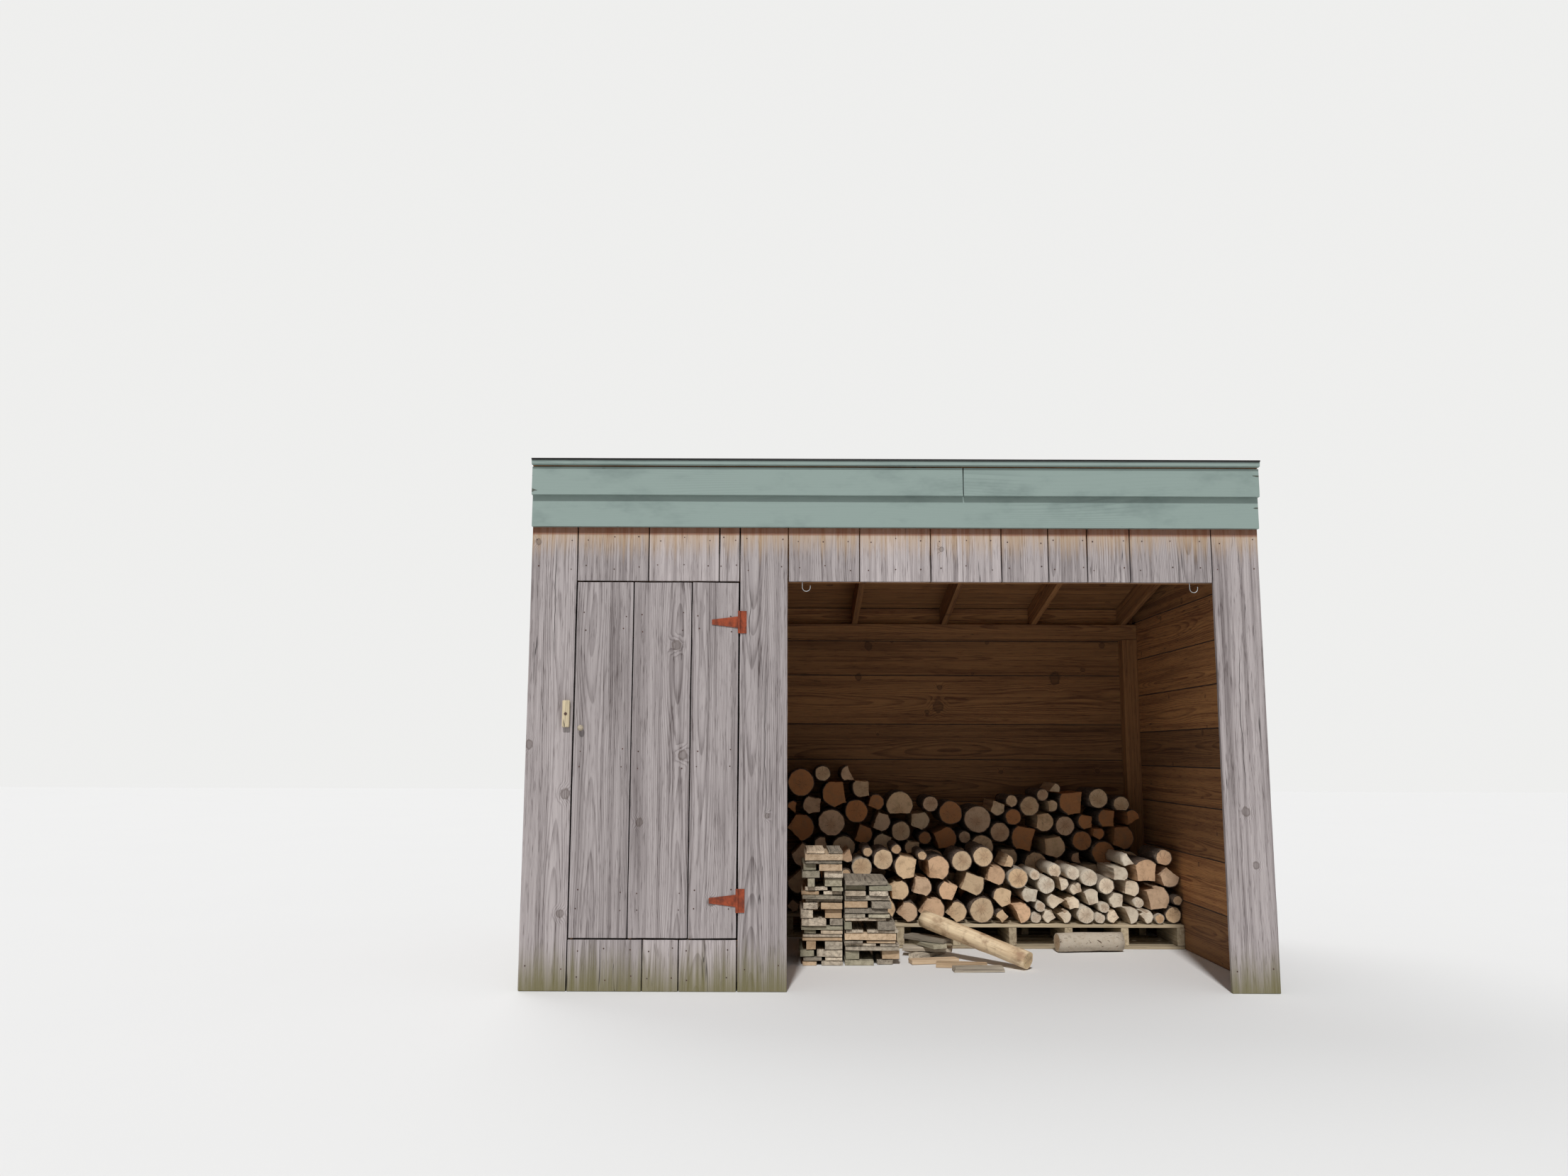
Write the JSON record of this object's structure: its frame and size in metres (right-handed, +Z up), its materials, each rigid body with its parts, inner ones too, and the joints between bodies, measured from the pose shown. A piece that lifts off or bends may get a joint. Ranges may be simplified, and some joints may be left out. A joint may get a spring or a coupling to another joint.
{
  "type": "log store",
  "caption": "Board-clad log store with a single-slope roof, a closet behind a ledged door and an open bay with two rows of split firewood on pallets.",
  "frame": {"origin": "on the ground, in the middle of the shed's whole box", "axes": "+X along the front from left to right, +Y from the open front to the back wall, +Z up"},
  "size_m": [3.658, 2.302, 2.5975],
  "materials": {
    "weathered_boards": "matte",
    "inner_boards": "matte",
    "green_paint": "satin",
    "roof_shingle": "matte",
    "rusty_iron": "matte",
    "galvanised_wire": "satin",
    "bare_wood": "matte",
    "firewood": "matte",
    "grey_offcuts": "matte"
  },
  "bodies": {
    "shed": {"back_left_post": "inner_boards", "back_log_row": "firewood", "back_middle_post": "inner_boards", "back_pallet": "grey_offcuts", "back_plate": "inner_boards", "back_right_post": "inner_boards", "back_wall": "weathered_boards", "bay_head_rail": "inner_boards", "bay_header_boards": "weathered_boards", "boards_over_door": "weathered_boards", "boards_under_door": "weathered_boards", "button_pin": "galvanised_wire", "closet_floor": "inner_boards", "closet_floor_joists": "inner_boards", "closet_inner_wall": "inner_boards", "closet_jamb_board": "weathered_boards", "corner_board": "weathered_boards", "door_head_rail": "inner_boards", "front_left_post": "inner_boards", "front_log_row": "firewood", "front_middle_post": "inner_boards", "front_pallet": "grey_offcuts", "front_plate": "inner_boards", "front_right_post": "inner_boards", "left_jamb_board": "weathered_boards", "left_wall": "weathered_boards", "loose_logs": "firewood", "lower_frieze": "green_paint", "lower_hinge_plate": "rusty_iron", "offcut_stack": "grey_offcuts", "rafters": "inner_boards", "rear_edge_strip": "green_paint", "rear_fascia": "green_paint", "right_wall": "weathered_boards", "roof_covering": "roof_shingle", "roof_deck": "inner_boards", "roof_edge_strip": "green_paint", "upper_fascia": "green_paint", "upper_hinge_plate": "rusty_iron", "wire_hooks": "galvanised_wire"},
    "door": {"door_boards": "weathered_boards", "door_ledges": "inner_boards", "door_knob": "bare_wood", "lower_hinge_strap": "rusty_iron", "upper_hinge_strap": "rusty_iron"},
    "button": {"turn_button": "bare_wood"}
  },
  "joints": [
    {"name": "door_hinge", "type": "hinge", "parent": "shed", "child": "door", "pos_m": [-0.7815, -1.075, 1.1], "axis": [0, 0, 1], "range_deg": [0, 170]},
    {"name": "button_turn", "type": "hinge", "parent": "shed", "child": "button", "pos_m": [-1.631, -1.083, 1.322], "axis": [0, 1, 0], "range_deg": [0, 90]}
  ]
}
